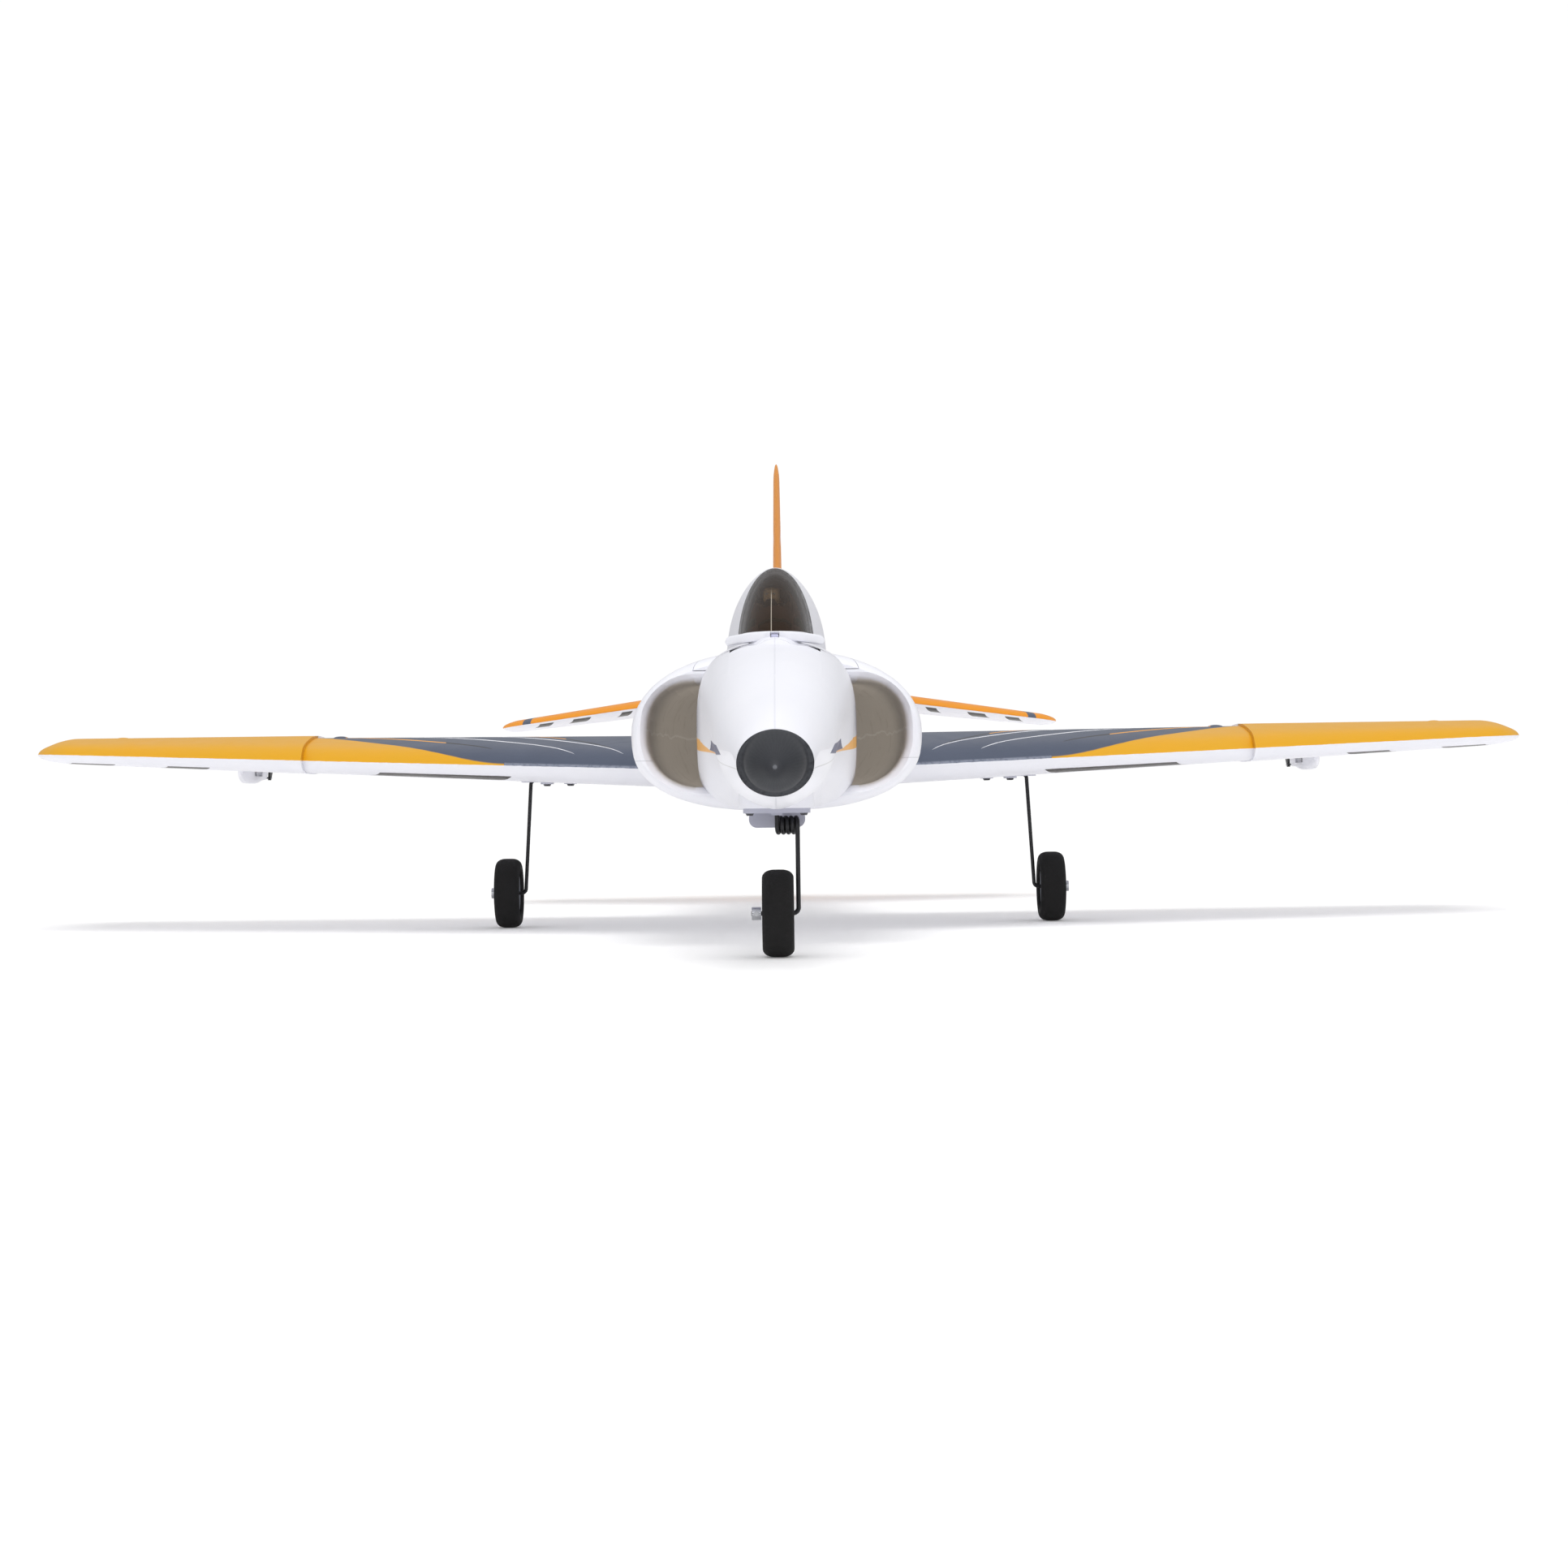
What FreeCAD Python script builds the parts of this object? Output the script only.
"""Radio-controlled ducted-fan jet plane, about 1.03 m in span, standing on its fixed landing gear.

Frame: millimetres, +Z up, nose towards -Y, +X to the right when seen from the nose.
The origin is on the ground, under the middle of the plane's length.
A station is a distance aft of the tip of the nose cone.

The foam fuselage is two glued halves, each built up of foam blocks.  It is a slim forward body, which runs on between the two
intakes as the splitter, joined to a wide rear body that carries the intakes and the thrust tube,
with a spine on top.  The canopy hatch lifts off straight up over the equipment bay.
Each control surface turns on a full-length wire pin, and each linkage is a true parallelogram:
the servo arm is as long as the horn and parallel to it, so the pushrod only translates.
"""
import FreeCAD
import Part
import math
import os
from FreeCAD import Vector

# ---- driving dimensions -------------------------------------------------------------------
LENGTH = 1230.0
HALF_SPAN = 517.5
GAP = 0.4                 # clearance between pieces that move past each other
SKIN_GAP = 0.15           # clearance between fixed pieces that only meet

NOSE_CONE_LENGTH = 45.0
LIP_STATION = 296.0       # front of the intake lips
FAN_AXIS_Z = 131.0
FAN_STATION = 652.0       # front of the rotor
SHROUD_FRONT = 646.0
SHROUD_REAR = 706.0
SHROUD_RADIUS = 36.8
FAN_BORE_RADIUS = 35.4
EXHAUST_RADIUS = 30.0
EXHAUST_STATION = 1194.0
FUSELAGE_END = 1186.0

WHEEL_RADIUS = 23.5
TYRE_WIDTH = 17.0
RIM_RADIUS = 15.5
HUB_BORE_RADIUS = 1.55
WIRE_RADIUS = 1.25        # landing gear wire, which is also the axle
BEND_RADIUS = 4.0
AXLE_STATION_NOSE = 180.0
AXLE_STATION_MAIN = 610.0
MAIN_WHEEL_X = 185.0
MAIN_LEG_TOP_X = 169.0
COIL_RADIUS = 3.85
COIL_PITCH = 2.75
COIL_TURNS = 4
COIL_Z = 70.8

WING_ROOT_X = 80.0
WING_CUT_X = 60.0         # the wing loft starts inside the fuselage and is trimmed by it
DOGTOOTH_X = 315.0
DOGTOOTH_STEP = 7.0       # how far the outer leading edge stands ahead of the inner one
WING_ROOT_LE = 452.0
WING_ROOT_TE = 742.0
LE_SWEEP = 0.412          # stations per millimetre of span
TE_SWEEP = 0.064
DIHEDRAL = 0.0409
WING_ROOT_Z = 105.0
WING_THICKNESS = 0.112
WING_CAMBER = 0.026

AILERON_HORN = 15.0       # hinge axis to pushrod pin; each servo arm is as long as its horn
TAIL_HORN = 12.0
STEERING_HORN = 10.5
SERVO_SIZE = (23.0, 12.0, 22.5)   # along the case, across it, up to the top plate
PIN_RADIUS = 0.6          # hinge wires
PIN_CLEARANCE = 0.1
ROD_RADIUS = 0.8


def y_at(station):
    return station - LENGTH / 2


def signed_power(value, power):
    return math.copysign(abs(value) ** power, value)


def closed_curve(points, steps):
    curve = Part.BSplineCurve()
    curve.interpolate(Points=points, PeriodicFlag=True, Parameters=steps)
    return Part.Wire(curve.toShape())


def box(x0, x1, s0, s1, z0, z1):
    return Part.makeBox(x1 - x0, s1 - s0, z1 - z0, Vector(x0, y_at(s0), z0))


def rod(start, end, radius):
    return Part.makeCylinder(radius, (end - start).Length, start, end - start)


def tube(start, end, outer, inner):
    return rod(start, end, outer).cut(rod(start, end, inner))


def side_prism(outline, half_width=150.0):
    """A side-view outline of (station, z) points, pulled out across the whole width."""
    points = [Vector(-half_width, y_at(s), z) for s, z in outline]
    face = Part.Face(Part.makePolygon(points + points[:1]))
    return face.extrude(Vector(2 * half_width, 0, 0))


def plan_prism(outline, z0, z1):
    """A plan-view outline of (x, station) points, pulled up from z0 to z1."""
    points = [Vector(x, y_at(s), z0) for x, s in outline]
    face = Part.Face(Part.makePolygon(points + points[:1]))
    return face.extrude(Vector(0, 0, z1 - z0))


def mirrored(shape):
    return shape.mirror(Vector(0, 0, 0), Vector(1, 0, 0))


def group(shapes):
    return Part.makeCompound(shapes)


def in_blocks(solid, cells):
    """The same foam as separate blocks, glued face to face: one for each cell that holds some of it."""
    blocks = []
    for cell in cells:
        blocks += [block for block in solid.common(cell).Solids if block.Volume > 2]
    return blocks


def sector(x, z, first, last, s0, s1, reach=260.0):
    """A slice of pie around a line at (x, z), between two angles in degrees, from s0 to s1."""
    points = [Vector(x, y_at(s0), z)]
    for angle in (first, (first + last) / 2, last):
        turn = math.radians(angle)
        points.append(Vector(x + reach * math.cos(turn), y_at(s0), z + reach * math.sin(turn)))
    face = Part.Face(Part.makePolygon(points + points[:1]))
    return face.extrude(Vector(0, s1 - s0, 0))


def biggest(shape):
    return max(shape.Solids, key=lambda s: s.Volume)


def rounded_box(x0, x1, s0, s1, z0, z1, radius, axis):
    """A box with its four edges along one axis rounded."""
    solid = box(x0, x1, s0, s1, z0, z1)
    edges = [e for e in solid.Edges if abs(e.tangentAt(e.FirstParameter).dot(axis)) > 0.99]
    return solid.makeFillet(radius, edges)


# ---- fuselage ------------------------------------------------------------------------------
SECTION_POINTS = 28

# station, half width, bottom, height of the widest line, top, lower power, upper power
FORWARD_BODY = [
    (45, 19.3, 85.8, 102.5, 119.3, 2.0, 2.0),
    (90, 27.5, 81.8, 110.0, 138.0, 1.9, 2.1),
    (140, 33.5, 79.8, 121.0, 155.0, 1.85, 2.3),
    (200, 39.0, 79.2, 133.0, 169.5, 1.9, 2.4),
    (255, 43.8, 79.2, 130.0, 173.8, 2.7, 2.8),
    (310, 46.5, 79.6, 124.0, 174.5, 3.8, 3.1),
    (370, 46.0, 80.0, 124.0, 174.5, 3.8, 3.1),
    (430, 37.0, 81.0, 125.0, 173.5, 3.6, 3.0),
    (500, 19.0, 82.5, 128.0, 171.5, 3.2, 2.8),
    (560, 3.0, 84.0, 131.0, 170.0, 2.5, 2.5),
]
REAR_BODY = [
    (312, 84.5, 78.4, 121.5, 172.0, 2.5, 2.25),
    (380, 85.5, 78.4, 122.0, 173.5, 2.55, 2.3),
    (480, 86.0, 78.8, 123.0, 175.0, 2.55, 2.3),
    (600, 82.5, 79.4, 125.5, 176.0, 2.45, 2.25),
    (720, 74.0, 81.6, 128.0, 176.5, 2.3, 2.2),
    (850, 63.5, 85.6, 130.0, 175.5, 2.15, 2.1),
    (980, 53.0, 90.2, 131.0, 173.5, 2.05, 2.0),
    (1100, 43.0, 94.2, 131.0, 169.0, 2.0, 2.0),
    (FUSELAGE_END, 35.0, 96.5, 131.0, 165.5, 2.0, 2.0),
]
# the same for the +X duct, and how far its middle is from the centreline
DUCT = [
    (316, 30.0, 92.6, 122.0, 153.6, 2.1, 2.6, 45.0),
    (380, 31.0, 92.6, 122.0, 154.6, 2.2, 2.5, 43.5),
    (450, 33.0, 92.9, 123.5, 157.0, 2.2, 2.4, 37.0),
    (520, 35.0, 93.2, 127.0, 161.0, 2.1, 2.2, 25.5),
    (590, 35.6, 94.3, 130.0, 165.6, 2.0, 2.0, 10.5),
    (SHROUD_FRONT, 29.0, 96.4, 131.0, 165.6, 2.0, 2.0, 6.0),
]
# distance behind the front edge of the lip, how far it has closed in sideways, and upwards
LIP_CURVE = [(0.0, 3.7, 5.4), (2.5, 1.7, 2.6), (7.0, 0.5, 0.8)]

# station, half width, height of the widest line, top
SPINE = [
    (190, 13.0, 148.0, 165.0),
    (215, 17.5, 158.0, 178.0),
    (250, 19.5, 167.0, 191.0),
    (300, 20.8, 174.0, 206.5),
    (350, 21.5, 178.0, 219.0),
    (400, 23.0, 178.0, 226.5),
    (440, 27.5, 178.0, 229.5),
    (490, 31.5, 178.0, 230.5),
    (570, 32.0, 176.0, 228.0),
    (700, 29.0, 172.0, 219.0),
    (850, 24.0, 168.0, 207.5),
    (1000, 18.5, 164.0, 197.0),
    (1100, 13.5, 158.0, 185.5),
    (FUSELAGE_END - 2, 8.0, 150.0, 172.0),
]
SPINE_DEPTH = 24.0        # how far each spine section reaches down into the body

HATCH_FRONT = 203.0
HATCH_REAR = 500.0
# side view of the hatch parting, and its half width in plan
HATCH_OUTLINE = [(HATCH_FRONT, 169.0), (300, 159.0), (420, 159.0), (HATCH_REAR, 166.0),
                 (HATCH_REAR, 250), (HATCH_FRONT, 250)]
HATCH_PLAN = [(50.0, HATCH_FRONT - 5), (50.0, 292.0), (38.5, 316.0), (36.0, HATCH_REAR + 5)]
GLASS_OUTLINE = [(206, 177.0), (404, 183.0), (392, 250), (206, 250)]
GLASS_WALL = 1.4
HATCH_WALL = 4.0


def section_steps(power=2.4):
    """Curve parameters that all body sections share, which keeps a loft through many of them light."""
    steps = [0.0]
    for i in range(SECTION_POINTS):
        a, b = 2 * math.pi * i / SECTION_POINTS, 2 * math.pi * (i + 1) / SECTION_POINTS
        across = signed_power(math.cos(b), 2 / power) - signed_power(math.cos(a), 2 / power)
        up = signed_power(math.sin(b), 2 / power) - signed_power(math.sin(a), 2 / power)
        steps.append(steps[-1] + math.hypot(across, up))
    return steps


def body_section(y, half_width, bottom, waist, top, low_power, high_power, middle=0.0):
    points = []
    for i in range(SECTION_POINTS):
        angle = 2 * math.pi * i / SECTION_POINTS
        across, up = math.cos(angle), math.sin(angle)
        power = high_power if up >= 0 else low_power
        height = top - waist if up >= 0 else waist - bottom
        x = middle + half_width * signed_power(across, 2 / power)
        z = waist + height * signed_power(up, 2 / power)
        points.append(Vector(x, y, z))
    return closed_curve(points, section_steps())


def inset(section, station, sideways, upwards):
    _, half_width, bottom, waist, top, *rest = section
    return (station, half_width - sideways, bottom + upwards, waist, top - upwards, *rest)


def between(first, second, part):
    return tuple(a + (b - a) * part for a, b in zip(first, second))


def refined(sections, pitch):
    """More sections, on smooth curves through the given ones, about one pitch apart."""
    rows = []
    slopes = []
    for before, after in zip([sections[0]] + sections[:-1], sections[1:] + [sections[-1]]):
        slopes.append([(b - a) / (after[0] - before[0]) for a, b in zip(before, after)])
    for (p, m), (q, n) in zip(zip(sections, slopes), zip(sections[1:], slopes[1:])):
        gap = q[0] - p[0]
        steps = max(1, round(gap / pitch))
        for i in range(steps):
            t = i / steps
            rows.append(tuple(
                a * (1 + 2 * t) * (1 - t)**2 + b * t * t * (3 - 2 * t)
                + gap * (c * t * (1 - t)**2 - d * t * t * (1 - t))
                for a, b, c, d in zip(p, q, m, n)))
    return rows + [sections[-1]]


def lipped(sections, side, rise=1.0):
    """Sections with the rounded intake lip in front: side 1 closes in, side -1 opens out.

    One more section behind the lip keeps the loft from swinging in there.
    """
    first, second, *others = sections
    lip = [inset(first, LIP_STATION + aft, side * across, side * up * rise) for aft, across, up in LIP_CURVE]
    return lip + [first, between(first, second, 0.4), second] + others


def body_loft(sections):
    return Part.makeLoft([body_section(y_at(s), *rest) for s, *rest in sections], True)


def duct_loft():
    """The duct from the +X intake to the fan."""
    return body_loft(lipped(refined(DUCT, 35), -1, 0.8))


def spine_loft(shrink=0.0):
    sections = [(s, w - shrink, z - SPINE_DEPTH, z, t - shrink, 2.0, 2.0) for s, w, z, t in SPINE]
    return body_loft(sections)


def axis_point(station, x=0.0, z=FAN_AXIS_Z):
    return Vector(x, y_at(station), z)


def thrust_bore(radius_front, radius_rear, front=SHROUD_REAR, rear=EXHAUST_STATION):
    return Part.makeCone(radius_front, radius_rear, rear - front, axis_point(front), Vector(0, 1, 0))


BAY_HALF_WIDTH = 25.0
BAY_FLOOR = 103.0
BAY_FRONT = 148.0
BAY_FRONT_TOP = 143.0     # roof of the part of the bay ahead of the hatch
BAY_REAR = 420.0
WELL_HALF_WIDTH = 14.0    # narrow well under the bay for the steering gear
WELL_FLOOR = 91.4
WELL_REAR = 246.0
PAD_Z = 80.0              # flat foot under the nose for the steering gear
SERVO_CLEARANCE = 0.2     # around a servo in its pocket


def make_outer_fuselage():
    duct = duct_loft()
    rear = body_loft(lipped(REAR_BODY, 1)).fuse(spine_loft()).cut([duct, mirrored(duct)])
    pad = rounded_box(-20, 20, 160, 222, PAD_Z, 100, 6, Vector(0, 0, 1))
    return biggest(rear.fuse([body_loft(FORWARD_BODY), pad]))


def make_equipment_bay():
    bay = box(-BAY_HALF_WIDTH, BAY_HALF_WIDTH, HATCH_FRONT + 6, BAY_REAR, BAY_FLOOR, 250)
    bay = bay.fuse(box(-BAY_HALF_WIDTH, BAY_HALF_WIDTH, BAY_FRONT, HATCH_FRONT + 7, BAY_FLOOR, BAY_FRONT_TOP))
    well = box(-WELL_HALF_WIDTH, WELL_HALF_WIDTH, AXLE_STATION_NOSE - 24, WELL_REAR, WELL_FLOOR, BAY_FLOOR + 1)
    return bay.fuse(well)


def make_fan_cuts():
    pocket = rod(axis_point(SHROUD_FRONT - 1), axis_point(SHROUD_REAR), SHROUD_RADIUS)
    return pocket.fuse(thrust_bore(SHROUD_RADIUS, EXHAUST_RADIUS + 0.8, rear=EXHAUST_STATION + 2))


# foam blocks of one half: the centre body between the ducts as (station, half width),
# and the middle of the duct as (front station, x, height)
CENTRE_BODY = [(296, 48.0), (372, 47.5), (BAY_REAR, 40.5), (430, 39.0), (500, 21.0), (560, 5.0)]
DUCT_BLOCKS = [(296, 44.5, 123.0), (380, 41.0, 123.0), (440, 33.0, 124.5), (500, 23.0, 128.0),
               (560, 10.0, 130.5)]
BLOCK_ANGLES = [-180, -90, -54, -18, 18, 54, 90, 180]


def fuselage_blocks(half):
    """One half of the body as its foam blocks, none of which reaches across a duct or the bay."""
    w, f, top = BAY_HALF_WIDTH, BAY_FLOOR, 300
    room = (AXLE_STATION_NOSE - 24, AXLE_STATION_NOSE - 8.8, AXLE_STATION_NOSE + 8.8, WELL_REAR)
    front = [box(-5, 120, 0, BAY_FRONT, 0, top), box(-5, w, BAY_FRONT, HATCH_FRONT, BAY_FRONT_TOP, top),
             box(-5, w, HATCH_FRONT, HATCH_FRONT + 6, BAY_FRONT_TOP, top),
             box(w, 120, BAY_FRONT, HATCH_FRONT + 6, 0, top), box(w, 120, HATCH_FRONT + 6, 296, 0, top),
             box(WELL_HALF_WIDTH, w, BAY_FRONT, WELL_REAR, 0, f), box(-5, w, WELL_REAR, BAY_REAR, 0, f)]
    front += [box(-5, WELL_HALF_WIDTH, s0, s1, 0, f) for s0, s1 in zip((BAY_FRONT,) + room, room)]
    blocks = in_blocks(half, front)
    rest = half.common(box(-5, 120, 296, LENGTH, 0, top)).cut(box(-5, w, 290, BAY_REAR, 0, f))
    centre = []
    for (s0, w0), (s1, w1) in zip(CENTRE_BODY, CENTRE_BODY[1:]):
        inner = w if s1 <= BAY_REAR else -5
        centre.append(plan_prism([(inner, s0), (w0, s0), (w1, s1), (inner, s1)], 0, top))
    blocks += in_blocks(rest, centre)
    rest = rest.cut(centre)
    cells = []
    for (s0, x, z), s1 in zip(DUCT_BLOCKS, [b[0] for b in DUCT_BLOCKS[1:]] + [SHROUD_FRONT - 1]):
        cells += [sector(x, z, a, b, s0, s1) for a, b in zip(BLOCK_ANGLES, BLOCK_ANGLES[1:])]
    for s0, s1 in ((SHROUD_FRONT - 1, SHROUD_REAR), (SHROUD_REAR, 960), (960, LENGTH)):
        cells += [sector(-2, FAN_AXIS_Z, a, b, s0, s1) for a, b in zip(BLOCK_ANGLES[1:-1], BLOCK_ANGLES[2:-1])]
    return group(blocks + in_blocks(rest, cells))


# ---- aerofoils -----------------------------------------------------------------------------
AIRFOIL_STEPS = 9
TRAILING_EDGE = 1.1       # thickness of every trailing edge


def airfoil_height(u, thickness, camber):
    """Upper and lower height over the chord line at u of the chord, for a chord of 1."""
    half = 5 * thickness * (0.2969 * math.sqrt(u) - 0.126 * u - 0.3516 * u**2 + 0.2843 * u**3 - 0.1036 * u**4)
    mean = 4 * camber * u * (1 - u)
    return mean + half, mean - half


def airfoil_wire(place, chord, thickness, camber=0.0):
    """A closed section. place(u, h) gives the point at u along the chord and h above it, in mm."""
    edge = TRAILING_EDGE / 2
    upper, lower = [], []
    for i in range(AIRFOIL_STEPS + 1):
        u = (1 - math.cos(math.pi * i / AIRFOIL_STEPS)) / 2
        high, low = airfoil_height(u, thickness, camber)
        upper.append(place(u * chord, high * chord + edge * u))
        lower.append(place(u * chord, low * chord - edge * u))
    top, bottom = Part.BSplineCurve(), Part.BSplineCurve()
    top.interpolate(upper)
    bottom.interpolate(lower[::-1])
    back = Part.LineSegment(upper[-1], lower[-1])
    return Part.Wire([top.toShape(), back.toShape(), bottom.toShape()])


def flat_section(x, leading, trailing, z, thickness, camber=0.0):
    return airfoil_wire(lambda u, h: Vector(x, y_at(leading + u), z + h), trailing - leading, thickness, camber)


def upright_section(z, leading, trailing, thickness):
    return airfoil_wire(lambda u, h: Vector(h, y_at(leading + u), z), trailing - leading, thickness)


def wing_le(x):
    return WING_ROOT_LE + LE_SWEEP * (x - WING_ROOT_X)


def wing_te(x):
    return WING_ROOT_TE + TE_SWEEP * (x - WING_ROOT_X)


def wing_z(x):
    return WING_ROOT_Z + DIHEDRAL * (x - WING_ROOT_X)


def wing_mid_z(x, station):
    """Height of the mean line of the wing."""
    leading = wing_le(x) - (DOGTOOTH_STEP if x > DOGTOOTH_X else 0)
    chord = wing_te(x) - leading
    u = (station - leading) / chord
    return wing_z(x) + 4 * WING_CAMBER * u * (1 - u) * chord


# distance inboard of the tip, leading edge moved aft, trailing edge moved forward, thickness kept
TIP_ROUNDING = [(30.0, 0.0, 0.0, 1.0), (14.0, 6.0, 1.0, 0.86), (5.0, 17.0, 3.0, 0.6), (0.0, 42.0, 7.0, 0.2)]


def make_wing_blank():
    """The outer panel starts a little larger all round than the inner one ends."""
    def section(x, step, back=0.0, front=0.0, kept=1.0):
        return flat_section(x, wing_le(x) - step + back, wing_te(x) - front, wing_z(x),
                            WING_THICKNESS * kept, WING_CAMBER * kept)
    inner = Part.makeLoft([section(WING_CUT_X, 0), section(DOGTOOTH_X, 0)], True, True)
    tip = [section(HALF_SPAN - inboard, DOGTOOTH_STEP, back, front, kept)
           for inboard, back, front, kept in TIP_ROUNDING]
    outer = Part.makeLoft([section(DOGTOOTH_X, DOGTOOTH_STEP, 0, -1.6, 1.045), tip[0]], True, True)
    cap = Part.makeLoft(tip, True)
    return biggest(inner.fuse([outer, cap]))


# ---- hinged surfaces -----------------------------------------------------------------------
class Hinge:
    """A hinge line and the local frame of the surface that turns on it."""

    def __init__(self, start, end, radius_start, radius_end, down):
        self.start, self.end = start, end
        self.radii = (radius_start, radius_end)
        self.axis = (end - start).normalize()
        self.down = (down - self.axis * down.dot(self.axis)).normalize()
        self.forward = self.down.cross(self.axis)
        if self.forward.y > 0:
            self.forward = self.forward * -1

    def nose(self, extra):
        """The round nose of the surface, larger by extra all round, as long as the hinge line."""
        r0, r1 = (r + extra for r in self.radii)
        return Part.makeCone(r0, r1, (self.end - self.start).Length, self.start, self.axis)

    def aft(self, extra, reach=150.0):
        """Everything behind the hinge line, between its ends, larger by extra at both ends."""
        a = self.start - self.axis * extra
        b = self.end + self.axis * extra
        depth = self.down * 60.0
        back = self.forward * -reach
        corners = [a - depth, b - depth, b - depth + back, a - depth + back]
        face = Part.Face(Part.makePolygon(corners + corners[:1]))
        return face.extrude(self.down * 120.0)

    def pin(self, anchor, radius=PIN_RADIUS):
        return rod(self.start - self.axis * anchor, self.end + self.axis * anchor, radius)


END_GAP = 1.3             # between a surface's end and the fixed part beside it
PIN_ANCHOR = 7.0


def split_surface(blank, hinge):
    """Returns the fixed part and the moving surface, cut from one blank."""
    moving = blank.common(hinge.aft(0).fuse(hinge.nose(0)))
    moving = biggest(moving).cut(hinge.pin(PIN_ANCHOR, PIN_RADIUS + PIN_CLEARANCE))
    a = hinge.start - hinge.axis * END_GAP
    r0, r1 = (r + GAP for r in hinge.radii)
    cove = Part.makeCone(r0, r1, (hinge.end - hinge.start).Length + 2 * END_GAP, a, hinge.axis)
    fixed = blank.cut(hinge.aft(END_GAP).fuse(cove)).cut(hinge.pin(PIN_ANCHOR))
    return biggest(fixed), biggest(moving)


# aileron
AILERON_INNER_X, AILERON_OUTER_X = 326.0, 486.0
AILERON_INNER_HINGE, AILERON_OUTER_HINGE = 712.0, 722.5
# tailplane
STAB_ROOT_X, STAB_TIP_X = 8.0, 232.0
STAB_Z0 = 175.0
ANHEDRAL = 0.115
STAB_LE_ROOT, STAB_LE_TIP = 945.0, 1052.0
STAB_TE = 1152.0
ELEVATOR_INNER_X, ELEVATOR_OUTER_X = 50.0, 222.0
ELEVATOR_HINGE = 1106.0
# fin
FIN_ROOT_Z, FIN_TIP_Z = 172.0, 371.0
FIN_LE_ROOT, FIN_LE_TIP = 811.0, 1090.0
FIN_TE_ROOT, FIN_TE_TIP = 1196.0, LENGTH
FIN_THICKNESS_ROOT, FIN_THICKNESS_TIP = 0.0225, 0.031
RUDDER_LOW_Z, RUDDER_HIGH_Z = 188.0, 353.0
RUDDER_HINGE_LOW, RUDDER_HINGE_HIGH = 1130.0, 1149.0


def along(low, high, a, b, at):
    return a + (b - a) * (at - low) / (high - low)


def aileron_hinge():
    def point(x, station):
        return Vector(x, y_at(station), wing_mid_z(x, station))
    return Hinge(point(AILERON_INNER_X, AILERON_INNER_HINGE), point(AILERON_OUTER_X, AILERON_OUTER_HINGE),
                 6.4, 5.9, Vector(0, 0, -1))


def stab_z(x):
    return STAB_Z0 - ANHEDRAL * x


def elevator_hinge():
    a = Vector(ELEVATOR_INNER_X, y_at(ELEVATOR_HINGE), stab_z(ELEVATOR_INNER_X))
    b = Vector(ELEVATOR_OUTER_X, y_at(ELEVATOR_HINGE), stab_z(ELEVATOR_OUTER_X))
    return Hinge(a, b, 4.8, 4.3, Vector(0, 0, -1))


def rudder_hinge():
    a = Vector(0, y_at(RUDDER_HINGE_LOW), RUDDER_LOW_Z)
    b = Vector(0, y_at(RUDDER_HINGE_HIGH), RUDDER_HIGH_Z)
    return Hinge(a, b, 2.5, 2.7, Vector(1, 0, 0))


def make_stab_blank():
    span = STAB_TIP_X - STAB_ROOT_X

    def section(x, back=0.0, kept=1.0):
        leading = along(STAB_ROOT_X, STAB_TIP_X, STAB_LE_ROOT, STAB_LE_TIP, x) + back
        return flat_section(x, leading, STAB_TE - back * 0.15, stab_z(x), 0.085 * kept)
    root, tip = section(STAB_ROOT_X), section(STAB_TIP_X - 16)
    panel = Part.makeLoft([root, tip], True, True)
    cap = Part.makeLoft([section(STAB_TIP_X - 16), section(STAB_TIP_X - 6, 5, 0.85),
                         section(STAB_TIP_X - 1.5, 13, 0.55), section(STAB_ROOT_X + span, 22, 0.25)], True)
    return biggest(panel.fuse(cap))


def make_fin_blank():
    def section(z, back=0.0, front=0.0, kept=1.0):
        leading = along(FIN_ROOT_Z, FIN_TIP_Z, FIN_LE_ROOT, FIN_LE_TIP, z) + back
        trailing = along(FIN_ROOT_Z, FIN_TIP_Z, FIN_TE_ROOT, FIN_TE_TIP, z) - front
        thickness = along(FIN_ROOT_Z, FIN_TIP_Z, FIN_THICKNESS_ROOT, FIN_THICKNESS_TIP, z)
        return upright_section(z, leading, trailing, thickness * kept)
    panel = Part.makeLoft([section(FIN_ROOT_Z), section(FIN_TIP_Z - 14)], True, True)
    cap = Part.makeLoft([section(FIN_TIP_Z - 14), section(FIN_TIP_Z - 5, 5, 0, 0.85),
                         section(FIN_TIP_Z - 1.2, 13, 0, 0.55), section(FIN_TIP_Z, 20, 0, 0.25)], True)
    return biggest(panel.fuse(cap))


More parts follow.
